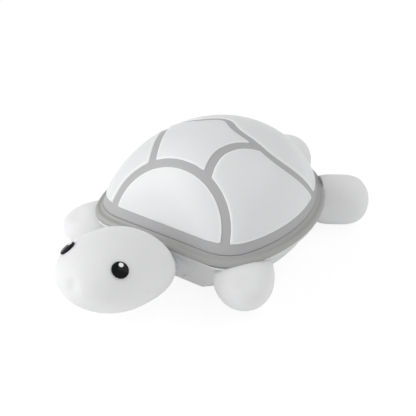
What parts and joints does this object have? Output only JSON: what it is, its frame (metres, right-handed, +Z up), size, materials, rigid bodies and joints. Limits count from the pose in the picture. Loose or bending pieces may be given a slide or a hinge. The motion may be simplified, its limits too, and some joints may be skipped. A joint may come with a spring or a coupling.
{
  "type": "turtle night light",
  "caption": "Rechargeable turtle night light: translucent domed shell with banded scutes over a tub with soft head, flippers and tail, a sliding switch, a button and a flap over its port.",
  "frame": {"origin": "middle of the bounding box, on the floor that the feet stand on", "axes": "+Z up, -Y the way the turtle faces, +X towards its left side"},
  "size_m": [0.1, 0.16, 0.0542],
  "materials": {
    "shade_white": "satin translucent soft plastic",
    "band_grey": "satin moulded grey",
    "rim_grey": "matt soft grey",
    "tub_white": "satin moulded white",
    "soft_white": "matt soft-touch white",
    "eye_black": "glossy black with one white dot",
    "inner_white": "plain moulded white",
    "board_white": "white-faced circuit board",
    "lamp_lens": "moulded lamp with a yellow dot",
    "screw_steel": "zinc-plated",
    "cell_pouch": "foil pouch",
    "foam_black": "foam",
    "board_green": "green-faced circuit board",
    "chip_black": "moulded",
    "port_steel": "drawn sleeve",
    "switch_black": "moulded",
    "control_grey": "satin moulded grey",
    "flap_white": "satin moulded white",
    "foot_rubber": "matt",
    "lead_red": "insulated",
    "lead_white": "insulated"
  },
  "bodies": {
    "body": {"shell_shade": "shade_white", "shell_web": "band_grey", "shell_rim": "rim_grey", "belly_shell": "tub_white", "head": "soft_white", "left_eye": "eye_black", "right_eye": "eye_black", "front_left_flipper": "soft_white", "front_right_flipper": "soft_white", "rear_left_flipper": "soft_white", "rear_right_flipper": "soft_white", "tail": "soft_white", "chassis": "inner_white", "led_board": "board_white", "leds": "lamp_lens", "led_screws": "screw_steel", "battery": "cell_pouch", "battery_pad": "foam_black", "control_board": "board_green", "control_chips": "chip_black", "usb_port": "port_steel", "tact_switch": "switch_black", "slide_switch": "switch_black", "board_screws": "screw_steel", "case_screws": "screw_steel", "foot_pads": "foot_rubber", "battery_wires": "lead_red", "led_wires": "lead_white"},
    "power_knob": {"power_switch": "control_grey", "switch_lever": "switch_black"},
    "button": {"mode_button": "control_grey"},
    "flap": {"port_cover": "flap_white"}
  },
  "joints": [
    {"name": "power_slide", "type": "slide", "parent": "body", "child": "power_knob", "axis": [1, 0, 0], "range_m": [0, 0.003]},
    {"name": "button_press", "type": "slide", "parent": "body", "child": "button", "axis": [0, 0, 1], "range_m": [0, 0.0007], "stiffness_N_per_m": 1500},
    {"name": "flap_hinge", "type": "hinge", "parent": "body", "child": "flap", "pos_m": [-0.03902, 0.00915, 0.0109], "axis": [0, 1, 0], "range_deg": [0, 100]}
  ]
}
